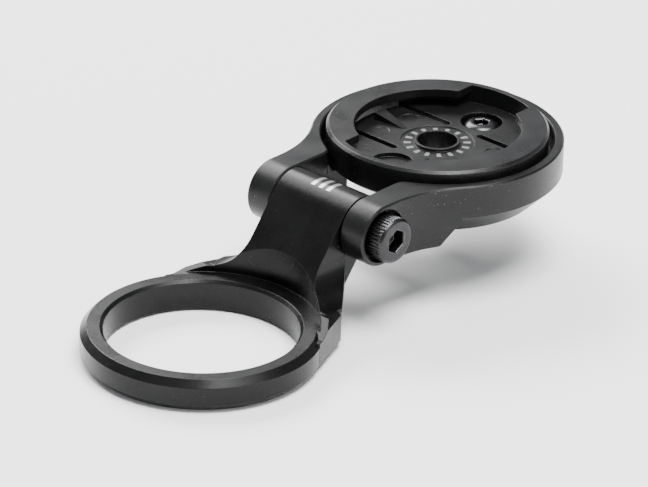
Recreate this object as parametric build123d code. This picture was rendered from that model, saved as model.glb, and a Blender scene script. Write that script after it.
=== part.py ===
"""Adjustable handlebar mount for a cycling computer, in millimetres.

A spacer ring slides on the steerer tube and carries a rising arm. The arm ends in a
hinge barrel, gripped between the two ears of a fork. The fork opens into a round housing
that holds a plastic quarter-turn insert, into which the computer is twisted. A cap screw
through the ears is the hinge pin and the tilt lock.

Frame: origin on the steerer axis at the ring's bottom face, +Y from the ring to the
housing, +X along the hinge pin towards its head, +Z up.
"""
from build123d import *
import math
import os

# Spacer ring on the steerer tube
STEERER_D = 28.6
RING_H = 5.0
RING_R = 17.65
RING_TOP_CHAMFER = 1.0
RING_BOTTOM_CHAMFER = 1.2
BORE_CHAMFER = 0.45

# Hinge
HINGE_Y = 26.1
HINGE_Z = 14.35
HINGE_R = 4.7
PIN_R = 2.0
RUNNING_GAP = 0.05

# Arm between the ring and the hinge barrel
ARM_HALF = 6.85
ARM_SLOPE = 52.3
ARM_THICK = 7.4
FOOT_TOP_Z = 6.0
FOOT_CHAMFER = 0.7
HORN_RAMP = [(9.5, 4.6), (13.0, 6.0)]
FOOT_BLEND_R = 5.0
RELIEF_R = 17.3
FOOT_OUTLINE = [(15.6, 8.3), (13.7, 13.0), (12.4, 16.3), (5.4, 24.1)]

# Fork
SLOT_HALF = 7.1
FORK_HALF = 11.6
SIDE_PLAY = 0.15
FORK_TOP_Z = HINGE_Z + HINGE_R
FORK_BOTTOM_Z = HINGE_Z - HINGE_R
CHEEK_BLEND_R = 19.3
HEEL = [(36.3, 9.65), (39.7, 14.0)]
CORNER_R = 2.0
EDGE_BREAK = 0.25

# Round housing for the insert
SOCKET_Y = 50.6
HOUSING_R = 19.05
HOUSING_BOTTOM_Z = 10.5
HOUSING_CHAMFER = 3.5
LEDGE_Z = 15.4
POCKET_R = 17.5
LOWER_BORE_R = 14.0
BOSS_HALF = 4.2
BOSS_BOTTOM_Z = 11.6

# Quarter-turn insert
INSERT_R = 16.75
INSERT_TOP_Z = 20.5
LIP_R = 12.6
LIP_THICK = 1.2
UNDERCUT_R = 15.4
FLOOR_Z = 17.65
ENTRY_HALF = 5.75
TONGUE_Z = 16.4
TONGUE_HALF = 5.45
TONGUE_END_R = 13.6
TONGUE_OUT_R = 15.2
TONGUE_ROOT_X = 2.8
SLIT_WIDTH = 1.1
HUB_HOLE_R = 3.05
HUB_RIM_R = 3.45
HUB_RIM_H = 0.3
HUB_R = 5.0
HUB_BOTTOM_Z = 12.6
BADGE_R = 5.6
BADGE_DEPTH = 0.15
SPIGOT_R = 13.85
SPIGOT_H = 0.8
DETENT_IN = 6.3
DETENT_OUT = 11.8
DETENT_H = 1.3
DETENT_HALF_IN = 0.4
DETENT_HALF_OUT = 1.05
EJECTOR_R = 1.45
EJECTOR_DEPTH = 0.1
EJECTOR_XY = (8.5, 3.35)

# Insert screw, M3 button head
SCREW_Y = SOCKET_Y + 10.1
SCREW_R = 1.5
SCREW_HEAD_R = 2.85
SCREW_HEAD_H = 1.65
SCREW_LENGTH = 5.0
SCREW_HEX = 2.0
SCREW_SEAT_Z = 16.0
SCREW_WELL_R = 3.2
SCREW_HOLE_R = 1.6
BLANK_WELL_Z = 17.0

# Pivot bolt, M4 socket head cap screw
BOLT_HEAD_R = 3.5
BOLT_HEAD_H = 4.0
BOLT_SEAT_X = 10.0
BOLT_LENGTH = 20.0
BOLT_HEX = 3.0
BOLT_HEX_DEPTH = 2.0
BOLT_WELL_R = 4.1
BOLT_EDGE_R = 0.5

WIDE = 60.0


def along_x(radius, x_start, x_end, y=HINGE_Y, z=HINGE_Z):
    """A cylinder parallel to X between two x positions."""
    middle = Location(((x_start + x_end) / 2, y, z), (0, 90, 0))
    return middle * Cylinder(radius, abs(x_end - x_start))


def upright(radius, z_start, z_end, x=0.0, y=0.0):
    """A vertical cylinder between two heights."""
    return Pos(x, y, (z_start + z_end) / 2) * Cylinder(radius, z_end - z_start)


def block(x_range, y_range, z_range):
    """A box given by its limits along X, Y and Z."""
    corners = list(zip(x_range, y_range, z_range))
    sizes = [high - low for low, high in zip(*corners)]
    centre = [(low + high) / 2 for low, high in zip(*corners)]
    return Pos(*centre) * Box(*sizes)


def spun(points, x=0.0, y=0.0):
    """A solid of revolution about a vertical axis from (radius, z) corner points."""
    profile = make_face(Plane.XZ * Polyline(*points, close=True))
    return Pos(x, y, 0) * revolve(profile, Axis.Z)


def side_prism(outline, half_width):
    """A (y, z) outline made into a prism that spans half_width either side of X = 0."""
    face = make_face(Plane.YZ * Polyline(*outline, close=True))
    return Pos(-half_width, 0, 0) * extrude(face, amount=2 * half_width, dir=(1, 0, 0))


def plan_prism(outline, z_start, z_end):
    """An (x, y) outline made into an upright prism."""
    face = make_face(Polyline(*outline, close=True))
    return Pos(0, 0, z_start) * extrude(face, amount=z_end - z_start)


def mirrored_outline(points):
    """Right-hand plan points joined to their mirror image across X = 0."""
    return points + [(-x, y) for x, y in reversed(points)]


def spacer_ring():
    """The plain ring, with its outer and bore chamfers."""
    bore = STEERER_D / 2
    return spun([
        (bore + BORE_CHAMFER, 0),
        (RING_R - RING_BOTTOM_CHAMFER, 0),
        (RING_R, RING_BOTTOM_CHAMFER),
        (RING_R, RING_H - RING_TOP_CHAMFER),
        (RING_R - RING_TOP_CHAMFER, RING_H),
        (bore + BORE_CHAMFER, RING_H),
        (bore, RING_H - BORE_CHAMFER),
        (bore, BORE_CHAMFER),
    ])


def arm_side_outline():
    """Side view of the arm: two parallel slopes, the upper one tangent to the barrel."""
    slope = math.radians(ARM_SLOPE)
    run = (math.cos(slope), math.sin(slope))
    out = (-math.sin(slope), math.cos(slope))
    top_y = HINGE_Y + HINGE_R * out[0]
    top_z = HINGE_Z + HINGE_R * out[1]
    foot_y = top_y - (top_z - FOOT_TOP_Z) * run[0] / run[1]
    low_y = top_y - ARM_THICK * out[0]
    low_z = top_z - ARM_THICK * out[1]
    heel_y = low_y - low_z * run[0] / run[1]
    return [
        (0, 0),
        (heel_y, 0),
        (low_y, low_z),
        (top_y, top_z),
        (foot_y, FOOT_TOP_Z),
        (0, FOOT_TOP_Z),
    ]


def foot_blend(side):
    """The concave blend from one side wall of the arm down to the top of its foot."""
    centre_x = ARM_HALF + FOOT_BLEND_R
    centre_z = FOOT_TOP_Z + FOOT_BLEND_R
    solid = block((0, centre_x), (0, WIDE), (FOOT_TOP_Z - FOOT_CHAMFER, centre_z))
    hollow = Location((centre_x, 0, centre_z), (90, 0, 0)) * Cylinder(FOOT_BLEND_R, 4 * WIDE)
    quarter = solid - hollow
    return quarter if side > 0 else mirror(quarter, Plane.YZ)


def foot_plate():
    """The plate that flares from the ring to the arm, chamfered along its sides like the ring."""
    plate = plan_prism(mirrored_outline(FOOT_OUTLINE), 0, FOOT_TOP_Z)
    for level, size in ((0, RING_BOTTOM_CHAMFER), (-1, FOOT_CHAMFER)):
        rim = plate.edges().group_by(Axis.Z)[level]
        plate = chamfer(rim.filter_by(lambda edge: abs(edge.center().X) > ARM_HALF), size)
    return plate


def ring_arm():
    """Spacer ring, foot, arm and hinge barrel, one machined piece."""
    foot = foot_plate()
    tall = block((-ARM_HALF, ARM_HALF), (0, WIDE), (0, WIDE)) + foot_blend(1) + foot_blend(-1)
    tall &= plan_prism(mirrored_outline(FOOT_OUTLINE[:3] + [(ARM_HALF, 23.0), (ARM_HALF, WIDE)]), 0, WIDE)
    body = (foot + tall) & side_prism(arm_side_outline(), WIDE)
    body += along_x(HINGE_R, -ARM_HALF, ARM_HALF)
    body -= upright(STEERER_D / 2 + 1.0, -1, WIDE)
    body -= upright(RELIEF_R, RING_H, WIDE)
    body -= side_prism(HORN_RAMP + [(HORN_RAMP[1][0], WIDE), (-WIDE, WIDE), (-WIDE, HORN_RAMP[0][1])], WIDE)
    body += spacer_ring()
    body -= along_x(PIN_R + RUNNING_GAP, -WIDE, WIDE)
    return body


def cheek_outline(side):
    """Plan of one fork cheek: straight at the ear, then swept out to the housing."""
    centre_x = FORK_HALF + CHEEK_BLEND_R
    reach = HOUSING_R + CHEEK_BLEND_R
    centre_y = SOCKET_Y - math.sqrt(reach ** 2 - centre_x ** 2)
    touch_x = HOUSING_R * centre_x / reach
    touch_y = SOCKET_Y - HOUSING_R * (SOCKET_Y - centre_y) / reach
    half_turn = math.atan2(touch_y - centre_y, centre_x - touch_x) / 2
    middle = (
        centre_x - CHEEK_BLEND_R * math.cos(half_turn),
        centre_y + CHEEK_BLEND_R * math.sin(half_turn),
    )
    ear_tip = (FORK_HALF, HINGE_Y)
    sweep_start = (FORK_HALF, centre_y)
    touch = (touch_x, touch_y)
    inner = (SLOT_HALF, touch_y)
    start = (SLOT_HALF, HINGE_Y)
    outline = Polyline(start, ear_tip, sweep_start)
    outline += ThreePointArc(sweep_start, middle, touch)
    outline += Polyline(touch, inner, start)
    face = make_face(outline)
    return face if side > 0 else mirror(face, Plane.YZ)


def cheek(side):
    """One fork cheek with its ear, its heel cut away below the housing's chamfer."""
    height = FORK_TOP_Z - FORK_BOTTOM_Z
    body = Pos(0, 0, FORK_BOTTOM_Z) * extrude(cheek_outline(side), amount=height)
    (heel_y, heel_z), (top_y, top_z) = HEEL
    body -= side_prism([(heel_y, heel_z), (top_y, top_z), (WIDE, top_z), (WIDE, 0), (heel_y, 0)], WIDE)
    body -= upright(POCKET_R, LEDGE_Z, WIDE, y=SOCKET_Y)
    body -= upright(LOWER_BORE_R, 0, WIDE, y=SOCKET_Y)
    return body + along_x(HINGE_R, side * SLOT_HALF, side * FORK_HALF)


def screw_boss():
    """The tab under the insert that its screw threads into."""
    rear_y = SOCKET_Y + LOWER_BORE_R + 1.0
    tab = block((-BOSS_HALF, BOSS_HALF), (SCREW_Y, rear_y), (BOSS_BOTTOM_Z, LEDGE_Z))
    return tab + upright(BOSS_HALF, BOSS_BOTTOM_Z, LEDGE_Z, y=SCREW_Y)


def fork_housing():
    """Two ears and cheeks, and the open round housing, one machined piece."""
    body = spun([
        (LOWER_BORE_R, HOUSING_BOTTOM_Z),
        (HOUSING_R - HOUSING_CHAMFER, HOUSING_BOTTOM_Z),
        (HOUSING_R, HOUSING_BOTTOM_Z + HOUSING_CHAMFER),
        (HOUSING_R, FORK_TOP_Z),
        (POCKET_R, FORK_TOP_Z),
        (POCKET_R, LEDGE_Z),
        (LOWER_BORE_R, LEDGE_Z),
    ], y=SOCKET_Y)
    body += cheek(-1) + cheek(1)
    body -= block((-SLOT_HALF, SLOT_HALF), (0, SOCKET_Y - LOWER_BORE_R / 2), (0, WIDE))
    body += screw_boss()
    body = fillet(pocket_corners(body), CORNER_R)
    body = chamfer(outer_rim(body), EDGE_BREAK)
    body -= upright(SCREW_R, 0, WIDE, y=SCREW_Y)
    body -= along_x(PIN_R + RUNNING_GAP, -WIDE, WIDE)
    body -= along_x(BOLT_WELL_R, BOLT_SEAT_X + SIDE_PLAY, WIDE)
    return Pos(-SIDE_PLAY, 0, 0) * body


def pocket_corners(body):
    """The upright edges where the slot between the cheeks opens into the pocket."""
    pocket_y = SOCKET_Y - math.sqrt(POCKET_R ** 2 - SLOT_HALF ** 2)
    upright_edges = body.edges().filter_by(Axis.Z)
    return upright_edges.filter_by(lambda edge: abs(edge.center().Y - pocket_y) < 0.1)


def outer_rim(body):
    """The top outline of cheeks and housing, and the round end of each ear."""
    def on_rim(edge):
        middle = edge @ 0.5
        on_ear_end = abs(abs(middle.X) - FORK_HALF) < 0.01 and middle.Y < HINGE_Y
        on_top = edge.bounding_box().min.Z > FORK_TOP_Z - 0.01
        seam = abs(middle.Y - HINGE_Y) < 0.01
        return on_ear_end or (on_top and not seam)
    return body.edges().filter_by(on_rim)


def sector(x_range, y_reach, z_range):
    """Two blocks, mirrored across the insert's centre line, that span x_range on each side."""
    low, high = x_range
    y_range = (SOCKET_Y - y_reach, SOCKET_Y + y_reach)
    return block((low, high), y_range, z_range) + block((-high, -low), y_range, z_range)


def insert_shell():
    """The dished body: outer wall, floor, hub and the lip that holds the bayonet tabs."""
    ease = 0.4
    lip_bottom_z = INSERT_TOP_Z - LIP_THICK
    return spun([
        (HUB_HOLE_R, HUB_BOTTOM_Z),
        (HUB_R, HUB_BOTTOM_Z),
        (HUB_R, LEDGE_Z),
        (INSERT_R - ease, LEDGE_Z),
        (INSERT_R, LEDGE_Z + ease),
        (INSERT_R, INSERT_TOP_Z - ease),
        (INSERT_R - ease, INSERT_TOP_Z),
        (LIP_R, INSERT_TOP_Z),
        (LIP_R, lip_bottom_z),
        (UNDERCUT_R, lip_bottom_z),
        (UNDERCUT_R, FLOOR_Z),
        (BADGE_R, FLOOR_Z),
        (BADGE_R, FLOOR_Z - BADGE_DEPTH),
        (HUB_RIM_R, FLOOR_Z - BADGE_DEPTH),
        (HUB_RIM_R, FLOOR_Z + HUB_RIM_H),
        (HUB_HOLE_R, FLOOR_Z + HUB_RIM_H),
    ], y=SOCKET_Y)


def insert_spigot():
    """Four short segments under the floor that centre the insert in the lower bore."""
    ring = upright(SPIGOT_R, LEDGE_Z - SPIGOT_H, LEDGE_Z, y=SOCKET_Y)
    ring -= upright(SPIGOT_R - 1.2, 0, WIDE, y=SOCKET_Y)
    ring -= block((-SLOT_HALF, SLOT_HALF), (0, 2 * WIDE), (0, WIDE))
    return ring - block((-WIDE, WIDE), (SOCKET_Y - 6.8, SOCKET_Y + 6.8), (0, WIDE))


def tongue_slits():
    """The openings round the two spring tongues, and the relief beneath them."""
    slit_y = TONGUE_HALF + SLIT_WIDTH / 2
    reach = slit_y + SLIT_WIDTH / 2
    low_z = LEDGE_Z - 1
    end_gap = upright(TONGUE_OUT_R, low_z, FLOOR_Z, y=SOCKET_Y)
    end_gap -= upright(TONGUE_END_R, 0, WIDE, y=SOCKET_Y)
    cut = end_gap & sector((TONGUE_ROOT_X, WIDE), reach, (0, WIDE))
    for y in (SOCKET_Y - slit_y, SOCKET_Y + slit_y):
        y_range = (y - SLIT_WIDTH / 2, y + SLIT_WIDTH / 2)
        for side in (-1, 1):
            root = side * (TONGUE_ROOT_X + SLIT_WIDTH / 2)
            tip = side * (TONGUE_END_R - 0.4)
            cut += block(sorted((root, tip)), y_range, (low_z, FLOOR_Z))
            cut += upright(SLIT_WIDTH / 2, low_z, FLOOR_Z, x=root, y=y)
    relief = upright(TONGUE_END_R + 0.2, low_z, TONGUE_Z, y=SOCKET_Y)
    return cut + (relief & sector((HUB_R + 0.3, WIDE), TONGUE_HALF + 0.2, (0, WIDE)))


def detent():
    """The wedge on one tongue that the computer's foot clicks over."""
    def section(x, half, height):
        corners = [
            (x, SOCKET_Y - half, FLOOR_Z - 0.2),
            (x, SOCKET_Y + half, FLOOR_Z - 0.2),
            (x, SOCKET_Y + half, FLOOR_Z + height),
            (x, SOCKET_Y - half, FLOOR_Z + height),
        ]
        return make_face(Polyline(*corners, close=True))
    return loft([section(-DETENT_IN, DETENT_HALF_IN, 0.02), section(-DETENT_OUT, DETENT_HALF_OUT, DETENT_H)])


def quarter_turn_insert():
    """The moulded insert that the computer is twisted into."""
    body = insert_shell() + insert_spigot()
    lip_bottom_z = INSERT_TOP_Z - LIP_THICK
    entry = block((-ENTRY_HALF, ENTRY_HALF), (0, 2 * WIDE), (lip_bottom_z, WIDE))
    body -= entry & upright(UNDERCUT_R, lip_bottom_z, WIDE, y=SOCKET_Y)
    body -= tongue_slits()
    body += detent()
    for side_x in (-1, 1):
        for side_y in (-1, 1):
            spot = (side_x * EJECTOR_XY[0], SOCKET_Y + side_y * EJECTOR_XY[1])
            body -= upright(EJECTOR_R, FLOOR_Z - EJECTOR_DEPTH, FLOOR_Z + 0.05, *spot)
    body -= upright(SCREW_WELL_R, BLANK_WELL_Z, FLOOR_Z, y=2 * SOCKET_Y - SCREW_Y)
    body -= upright(SCREW_WELL_R, SCREW_SEAT_Z, FLOOR_Z, y=SCREW_Y)
    body -= upright(SCREW_HOLE_R, 0, WIDE, y=SCREW_Y)
    return Pos(-SIDE_PLAY, 0, 0) * body


def hex_socket(width, depth):
    """A hexagonal prism, width across its flats, from Z = -depth up to just above 0."""
    return Pos(0, 0, -depth) * extrude(RegularPolygon(width / 2, 6, major_radius=False), amount=depth + 1)


def insert_screw():
    """M3 button-head screw that holds the insert to the housing's tab."""
    head_top = SCREW_SEAT_Z + SCREW_HEAD_H
    flat_r = 1.55
    bulge = (SCREW_HEAD_R * 0.88, SCREW_SEAT_Z + SCREW_HEAD_H * 0.68)
    outline = Polyline((0, head_top), (0, SCREW_SEAT_Z), (SCREW_HEAD_R, SCREW_SEAT_Z))
    outline += ThreePointArc((SCREW_HEAD_R, SCREW_SEAT_Z), bulge, (flat_r, head_top))
    outline += Line((flat_r, head_top), (0, head_top))
    head = revolve(make_face(Plane.XZ * outline), Axis.Z)
    head -= Pos(0, 0, head_top) * hex_socket(SCREW_HEX, 1.0)
    shank = upright(SCREW_R, SCREW_SEAT_Z - SCREW_LENGTH, SCREW_SEAT_Z)
    shank = chamfer(shank.edges().group_by(Axis.Z)[0], 0.3)
    return Pos(-SIDE_PLAY, SCREW_Y, 0) * (head + shank)


def pivot_bolt():
    """M4 socket head cap screw: hinge pin and tilt lock. It threads into the far ear."""
    seat = BOLT_SEAT_X + RUNNING_GAP
    head = along_x(BOLT_HEAD_R, seat, seat + BOLT_HEAD_H)
    head = fillet(head.edges().group_by(Axis.X)[-1], BOLT_EDGE_R)
    head -= Location((seat + BOLT_HEAD_H, HINGE_Y, HINGE_Z), (0, 90, 0)) * hex_socket(BOLT_HEX, BOLT_HEX_DEPTH)
    shank = along_x(PIN_R, seat - BOLT_LENGTH, seat)
    shank = chamfer(shank.edges().group_by(Axis.X)[0], 0.4)
    return head + shank


if __name__ == "__main__":
    os.makedirs("parts", exist_ok=True)
    for make in (ring_arm, fork_housing, quarter_turn_insert, insert_screw, pivot_bolt):
        placed = Pos(0, 0, -RING_H / 2) * make()
        export_step(placed, f"parts/{make.__name__}.step")
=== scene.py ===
import math

import bmesh
import bpy
from mathutils import Matrix, Vector


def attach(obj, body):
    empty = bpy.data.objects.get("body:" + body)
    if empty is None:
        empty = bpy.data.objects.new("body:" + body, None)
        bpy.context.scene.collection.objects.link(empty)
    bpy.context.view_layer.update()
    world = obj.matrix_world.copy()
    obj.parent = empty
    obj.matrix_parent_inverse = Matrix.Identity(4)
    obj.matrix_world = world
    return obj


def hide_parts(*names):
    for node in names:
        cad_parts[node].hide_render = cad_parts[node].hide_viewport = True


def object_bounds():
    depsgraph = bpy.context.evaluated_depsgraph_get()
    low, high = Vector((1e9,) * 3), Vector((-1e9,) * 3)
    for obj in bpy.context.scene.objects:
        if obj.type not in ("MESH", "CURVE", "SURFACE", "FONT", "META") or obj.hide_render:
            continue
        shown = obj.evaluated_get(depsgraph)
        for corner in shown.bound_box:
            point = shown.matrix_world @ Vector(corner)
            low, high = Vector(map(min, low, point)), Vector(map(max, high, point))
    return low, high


MM = 0.001
HINGE = (26.1, 11.85)        # y and z of the tilt axis, mm
SOCKET_Y = 50.6              # y of the socket's axis, mm
SIDE_PLAY = 0.15             # how far the fork sits towards -X, mm
BOLT_SEAT_X = 10.05          # x under the pivot bolt's head, mm
SCREW_SEAT = (SOCKET_Y + 10.1, 13.5)   # y and z under the insert screw's head, mm
EDGE_RADIUS = 0.13           # rounding shown along sharp edges, mm
CAMERA_AIM = (42.305, 26.382, 1.442)   # azimuth, elevation and roll, degrees
CAMERA_OFFSET = (0.017764, 0.016287, 0.69987)   # metres right, up and back of the ring's lower face
RING_HALF_HEIGHT = 0.0025
# light grey of the edges: partly worn metal, partly painted edge highlight
WORN_AND_HIGHLIGHT_GREY = 0.5
# light grey of the specks: painted glints off the grain
GLINT_SPECK_GREY = 0.55

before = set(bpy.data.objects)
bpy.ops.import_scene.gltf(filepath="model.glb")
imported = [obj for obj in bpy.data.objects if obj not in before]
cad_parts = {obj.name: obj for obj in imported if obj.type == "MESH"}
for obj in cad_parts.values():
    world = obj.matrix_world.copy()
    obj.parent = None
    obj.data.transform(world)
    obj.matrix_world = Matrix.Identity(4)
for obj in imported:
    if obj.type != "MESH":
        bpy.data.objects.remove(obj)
cad_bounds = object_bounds()


# ---------------------------------------------------------------- materials

class Nodes:
    """Builds one procedural material, node by node."""

    def __init__(self, name):
        self.mat = bpy.data.materials.new(name)
        self.mat.use_nodes = True
        self.tree = self.mat.node_tree
        self.shader = self.tree.nodes["Principled BSDF"]
        self.place = self.add("ShaderNodeTexCoord").outputs["Object"]

    def add(self, kind, **settings):
        node = self.tree.nodes.new(kind)
        for key, value in settings.items():
            setattr(node, key, value)
        return node

    def put(self, socket, value):
        if isinstance(value, bpy.types.NodeSocket):
            self.tree.links.new(value, socket)
        else:
            socket.default_value = value

    def math(self, operation, a, b=0.0, clamp=False):
        node = self.add("ShaderNodeMath", operation=operation, use_clamp=clamp)
        self.put(node.inputs[0], a)
        self.put(node.inputs[1], b)
        return node.outputs[0]

    def noise(self, scale, detail=3.0, rough=0.55):
        node = self.add("ShaderNodeTexNoise")
        self.put(node.inputs["Vector"], self.place)
        self.put(node.inputs["Scale"], scale)
        self.put(node.inputs["Detail"], detail)
        self.put(node.inputs["Roughness"], rough)
        return node.outputs["Fac"]

    def span(self, value, low, high, to_low, to_high):
        node = self.add("ShaderNodeMapRange")
        for socket, number in zip(node.inputs, (value, low, high, to_low, to_high)):
            self.put(socket, number)
        return node.outputs[0]

    def mix(self, factor, a, b):
        node = self.add("ShaderNodeMix", data_type="RGBA")
        self.put(node.inputs["Factor"], factor)
        self.put(node.inputs["A"], a)
        self.put(node.inputs["B"], b)
        return node.outputs["Result"]

    def bump(self, height, distance, strength, normal=None):
        node = self.add("ShaderNodeBump")
        self.put(node.inputs["Height"], height)
        self.put(node.inputs["Distance"], distance)
        self.put(node.inputs["Strength"], strength)
        if normal is not None:
            self.put(node.inputs["Normal"], normal)
        return node.outputs["Normal"]

    def soft_edges(self, radius):
        """The normal rounded over each edge, and a mask that is 1 along edges."""
        bevel = self.add("ShaderNodeBevel", samples=6)
        self.put(bevel.inputs["Radius"], radius)
        dot = self.add("ShaderNodeVectorMath", operation="DOT_PRODUCT")
        self.put(dot.inputs[0], bevel.outputs[0])
        self.put(dot.inputs[1], self.add("ShaderNodeNewGeometry").outputs["Normal"])
        return bevel.outputs[0], self.span(dot.outputs["Value"], 0.99, 0.80, 0.0, 1.0)


def grey(value, tint=1.0):
    return (value, value, value * tint, 1.0)


def finish(name, dark, light, metallic, rough, grain, depth, edge_wear_and_sheen, glint_speck, marks=None, gloss=0.5):
    """Satin dark finish: fine blasted grain, cloudy tone, few light specks painted as glints, rounded edges
    lightened partly as worn metal and partly as painted edge highlights.
    """
    m = Nodes(name)
    fine = m.noise(grain, 4.0, 0.6)
    cloud = m.noise(160.0, 3.0)
    tone = m.math("ADD", m.math("MULTIPLY", fine, 0.6), m.math("MULTIPLY", cloud, 0.4))
    colour = m.mix(m.span(tone, 0.35, 0.65, 0.0, 1.0), grey(dark, 1.03), grey(light, 1.03))
    # light specks: painted glints, small bright highlights put into the base colour
    glint_dots = m.span(m.noise(5200.0, 0.0), 0.80, 0.86, 0.0, glint_speck)
    colour = m.mix(glint_dots, colour, grey(GLINT_SPECK_GREY))
    normal, edge_band = m.soft_edges(EDGE_RADIUS * MM)
    # edges lightened towards a light grey: partly real edge wear, partly painted edge highlight
    edge_wear_and_highlight = m.math("MULTIPLY", edge_band, m.span(m.noise(900.0, 4.0), 0.3, 0.65, edge_wear_and_sheen * 0.35, edge_wear_and_sheen))
    colour = m.mix(edge_wear_and_highlight, colour, grey(WORN_AND_HIGHLIGHT_GREY))
    height = fine
    if marks:
        mask, mark_grey, mark_height = marks(m)
        colour = m.mix(mask, colour, grey(mark_grey))
        height = m.math("ADD", fine, m.math("MULTIPLY", mask, mark_height))
    m.put(m.shader.inputs["Base Color"], colour)
    m.put(m.shader.inputs["Metallic"], metallic)
    m.put(m.shader.inputs["Specular IOR Level"], gloss)
    m.put(m.shader.inputs["Roughness"], m.span(cloud, 0.3, 0.7, rough - 0.05, rough + 0.06))
    m.put(m.shader.inputs["Normal"], m.bump(height, depth * MM, 0.5, normal))
    return m.mat


def split(m):
    node = m.add("ShaderNodeSeparateXYZ")
    m.put(node.inputs[0], m.place)
    return node.outputs


def barrel_bars(m):
    """Three short engraved bars on top of the hinge barrel."""
    x, y, z = split(m)
    bars = m.math("LESS_THAN", m.math("PINGPONG", x, 0.75 * MM), 0.34 * MM)
    inside = m.math("LESS_THAN", m.math("ABSOLUTE", x), 2.0 * MM)
    across = m.math("LESS_THAN", m.math("ABSOLUTE", m.math("SUBTRACT", y, HINGE[0] * MM)), 1.5 * MM)
    high = m.math("GREATER_THAN", z, (HINGE[1] + 4.0) * MM)
    mask = m.math("MULTIPLY", m.math("MULTIPLY", bars, inside), m.math("MULTIPLY", across, high))
    return m.math("MULTIPLY", mask, m.span(m.noise(3500.0), 0.3, 0.6, 0.45, 1.0)), 0.42, -0.5


def hub_ticks(m):
    """A ring of moulded ticks round the hub's centre hole."""
    x, y, z = split(m)
    dx = m.math("ADD", x, SIDE_PLAY * MM)
    dy = m.math("SUBTRACT", y, SOCKET_Y * MM)
    radius = m.math("SQRT", m.math("ADD", m.math("MULTIPLY", dx, dx), m.math("MULTIPLY", dy, dy)))
    turn = m.math("PINGPONG", m.math("ARCTAN2", dy, dx), math.pi / 16)
    tick = m.math("LESS_THAN", turn, 0.07)
    band = m.math("LESS_THAN", m.math("ABSOLUTE", m.math("SUBTRACT", radius, 4.5 * MM)), 0.55 * MM)
    high = m.math("GREATER_THAN", z, 14.9 * MM)
    return m.math("MULTIPLY", m.math("MULTIPLY", tick, band), high), 0.16, 1.5


arm_finish = finish(
    "arm_anodised", dark=0.005, light=0.011, metallic=0.7, rough=0.27,
    grain=9000.0, depth=0.015, edge_wear_and_sheen=0.10, glint_speck=0.10, marks=barrel_bars,
)
fork_finish = finish(
    "fork_anodised", dark=0.009, light=0.020, metallic=0.7, rough=0.33,
    grain=7000.0, depth=0.03, edge_wear_and_sheen=0.15, glint_speck=0.25,
)
insert_finish = finish(
    "insert_nylon", dark=0.003, light=0.008, metallic=0.0, rough=0.30,
    grain=5000.0, depth=0.04, edge_wear_and_sheen=0.05, glint_speck=0.10, marks=hub_ticks, gloss=0.35,
)
bolt_finish = finish(
    "bolt_black_oxide", dark=0.025, light=0.06, metallic=1.0, rough=0.30,
    grain=8000.0, depth=0.012, edge_wear_and_sheen=1.0, glint_speck=0.3,
)
screw_finish = finish(
    "screw_black_oxide", dark=0.03, light=0.08, metallic=1.0, rough=0.28,
    grain=8000.0, depth=0.010, edge_wear_and_sheen=0.6, glint_speck=0.3,
)


def dress(node, material):
    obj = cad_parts[node]
    for slot in obj.material_slots:
        slot.material = material
    if not obj.material_slots:
        obj.data.materials.append(material)


dress("ring_arm", arm_finish)
dress("fork_housing", fork_finish)
dress("quarter_turn_insert", insert_finish)


# ---------------------------------------------------------------- turned screws

AROUND = 360


def hexagon(flats):
    """Radius of a hexagon, flats mm across, at an angle."""
    def radius(angle):
        nearest = (angle % (math.pi / 3)) - math.pi / 6
        return flats / 2 / math.cos(nearest)
    return radius


def knurl(radius, teeth, depth):
    """Radius of a straight-knurled side at an angle."""
    def at(angle):
        phase = (angle * teeth / (2 * math.pi)) % 1.0
        tooth = min(1.0, 1.5 * (1 - abs(2 * phase - 1)))
        return radius - depth * (1 - tooth)
    return at


def turned(name, stations, matrix, material, body, node):
    """A turned solid. Each station is a height and a radius: a number, or a function of the angle."""
    mesh = bmesh.new()
    rings = []
    for height, radius in stations:
        ring = []
        for i in range(AROUND):
            angle = 2 * math.pi * i / AROUND
            r = radius(angle) if callable(radius) else radius
            place = Vector((r * math.cos(angle), r * math.sin(angle), height))
            ring.append(mesh.verts.new(place * MM))
        rings.append(ring)
    for low, high in zip(rings, rings[1:]):
        for i in range(AROUND):
            j = (i + 1) % AROUND
            mesh.faces.new((low[i], low[j], high[j], high[i]))
    mesh.faces.new(list(reversed(rings[0])))
    mesh.faces.new(rings[-1])
    bmesh.ops.recalc_face_normals(mesh, faces=mesh.faces)
    data = bpy.data.meshes.new(name)
    mesh.to_mesh(data)
    mesh.free()
    data.transform(matrix)
    data.materials.append(material)
    data.polygons.foreach_set("use_smooth", [True] * len(data.polygons))
    data.set_sharp_from_angle(angle=math.radians(32))
    piece = bpy.data.objects.new(name, data)
    bpy.context.scene.collection.objects.link(piece)
    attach(piece, body)
    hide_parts(node)
    return piece


def threads(radius, start, end, pitch, depth):
    """Stations of ring threads between two heights."""
    stations = []
    height = start
    while height < end - pitch:
        stations += [(height, radius - depth), (height + pitch * 0.4, radius), (height + pitch * 0.55, radius)]
        height += pitch
    return stations + [(end, radius)]


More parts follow.
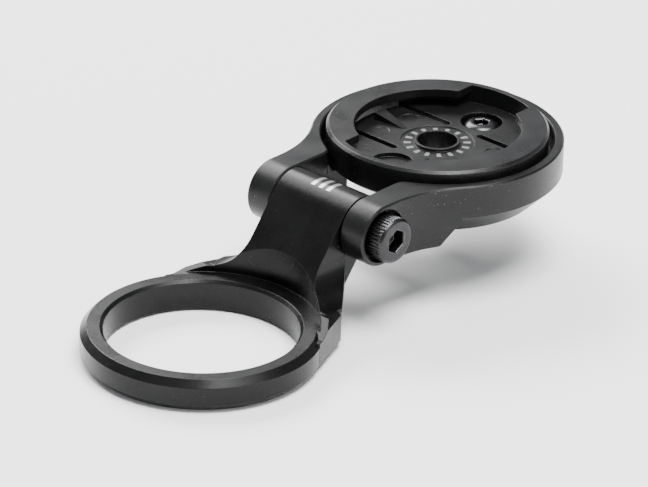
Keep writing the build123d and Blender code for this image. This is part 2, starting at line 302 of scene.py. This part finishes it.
def pivot_bolt():
    """Socket head cap screw with a straight-knurled head. Heights run along +X from its seat."""
    tip = [(-20.0, 1.5), (-19.6, 1.8)]
    shank = tip + threads(1.98, -19.2, -14.0, 0.7, 0.25) + [(-0.1, 2.0), (0.0, 2.0)]
    head = [(0.0, 3.2), (0.15, 3.38)]
    for height, depth in ((0.4, 0.0), (0.55, 0.20), (3.30, 0.20), (3.48, 0.10)):
        head.append((height, knurl(3.49, 40, depth)))
    crown = [(3.55, 3.42), (3.72, 3.34), (3.86, 3.22), (3.95, 3.08), (3.99, 2.92), (3.975, 2.2)]
    mouth = [(3.97, hexagon(3.45)), (3.80, hexagon(3.08))]
    well = mouth + [(3.70, hexagon(3.0)), (2.0, hexagon(3.0)), (1.6, 0.6)]
    matrix = Matrix.Translation(Vector((BOLT_SEAT_X, *HINGE)) * MM) @ Matrix.Rotation(math.pi / 2, 4, "Y")
    turned("pivot_bolt_visual", shank + head + crown + well, matrix, bolt_finish, "bolt", "pivot_bolt")


def insert_screw():
    """Button head screw that holds the insert. Heights run up from the insert's seat."""
    shank = [(-5.0, 1.2)] + threads(1.48, -4.6, -0.9, 0.5, 0.18) + [(0.0, 1.5)]
    dome = [(0.0, 2.72), (0.12, 2.84), (0.35, 2.84)]
    for step in range(1, 9):
        angle = math.radians(step * 6.2)
        dome.append((0.35 + 1.28 * math.sin(angle * 1.8), 2.84 - 1.25 * (1 - math.cos(angle * 1.8))))
    well = [(1.64, 1.5), (1.62, hexagon(2.3)), (1.50, hexagon(2.04)), (0.75, hexagon(2.0)), (0.5, 0.4)]
    matrix = Matrix.Translation(Vector((-SIDE_PLAY, *SCREW_SEAT)) * MM)
    turned("insert_screw_visual", shank + dome + well, matrix, screw_finish, "fork", "insert_screw")


pivot_bolt()
insert_screw()


# ---------------------------------------------------------------- floor, light, camera

def floor():
    mesh = bmesh.new()
    bmesh.ops.create_grid(mesh, x_segments=1, y_segments=1, size=4.0)
    data = bpy.data.meshes.new("floor")
    mesh.to_mesh(data)
    mesh.free()
    plane = bpy.data.objects.new("floor", data)
    plane.location.z = cad_bounds[0][2]
    bpy.context.scene.collection.objects.link(plane)
    m = Nodes("floor_white")
    m.put(m.shader.inputs["Base Color"], grey(0.97))
    m.put(m.shader.inputs["Roughness"], 0.9)
    data.materials.append(m.mat)


def softbox(name, direction, distance, size, power, target=(0, 0.03, 0.005)):
    light = bpy.data.lights.new(name, "AREA")
    light.shape = "RECTANGLE"
    light.size, light.size_y = size
    light.energy = power
    lamp = bpy.data.objects.new(name, light)
    aim = Vector(direction).normalized()
    lamp.location = Vector(target) + aim * distance
    lamp.rotation_euler = aim.to_track_quat("Z", "Y").to_euler()
    bpy.context.scene.collection.objects.link(lamp)


def camera():
    """The camera stands 700 mm off, a little above the mount and to its front right."""
    azimuth, elevation, roll = (math.radians(angle) for angle in CAMERA_AIM)
    back = Vector((
        math.sin(azimuth) * math.cos(elevation),
        -math.cos(azimuth) * math.cos(elevation),
        math.sin(elevation),
    ))
    level = Vector((math.cos(azimuth), math.sin(azimuth), 0.0))
    upward = back.cross(level)
    right = level * math.cos(roll) + upward * math.sin(roll)
    up = upward * math.cos(roll) - level * math.sin(roll)
    aside, above, behind = CAMERA_OFFSET
    place = back * behind + right * aside + up * above - Vector((0, 0, RING_HALF_HEIGHT))
    data = bpy.data.cameras.new("camera")
    data.lens = 268.5
    data.sensor_width = 36.0
    data.clip_start = 0.01
    cam = bpy.data.objects.new("camera", data)
    cam.matrix_world = Matrix((right, up, back)).transposed().to_4x4()
    cam.location = place
    bpy.context.scene.collection.objects.link(cam)
    bpy.context.scene.camera = cam


floor()
softbox("key_back_left", (-0.95, 0.25, 0.8), 0.9, (0.7, 0.4), 16.0)
softbox("top", (0.25, 0.0, 1.0), 0.9, (0.5, 0.5), 18.0)
softbox("fill_right", (0.9, 0.1, 0.35), 1.0, (0.5, 0.6), 3.0)
world = bpy.data.worlds.new("studio")
world.use_nodes = True
world.node_tree.nodes["Background"].inputs["Color"].default_value = (0.9, 0.92, 0.95, 1.0)
world.node_tree.nodes["Background"].inputs["Strength"].default_value = 0.5
bpy.context.scene.world = world
camera()
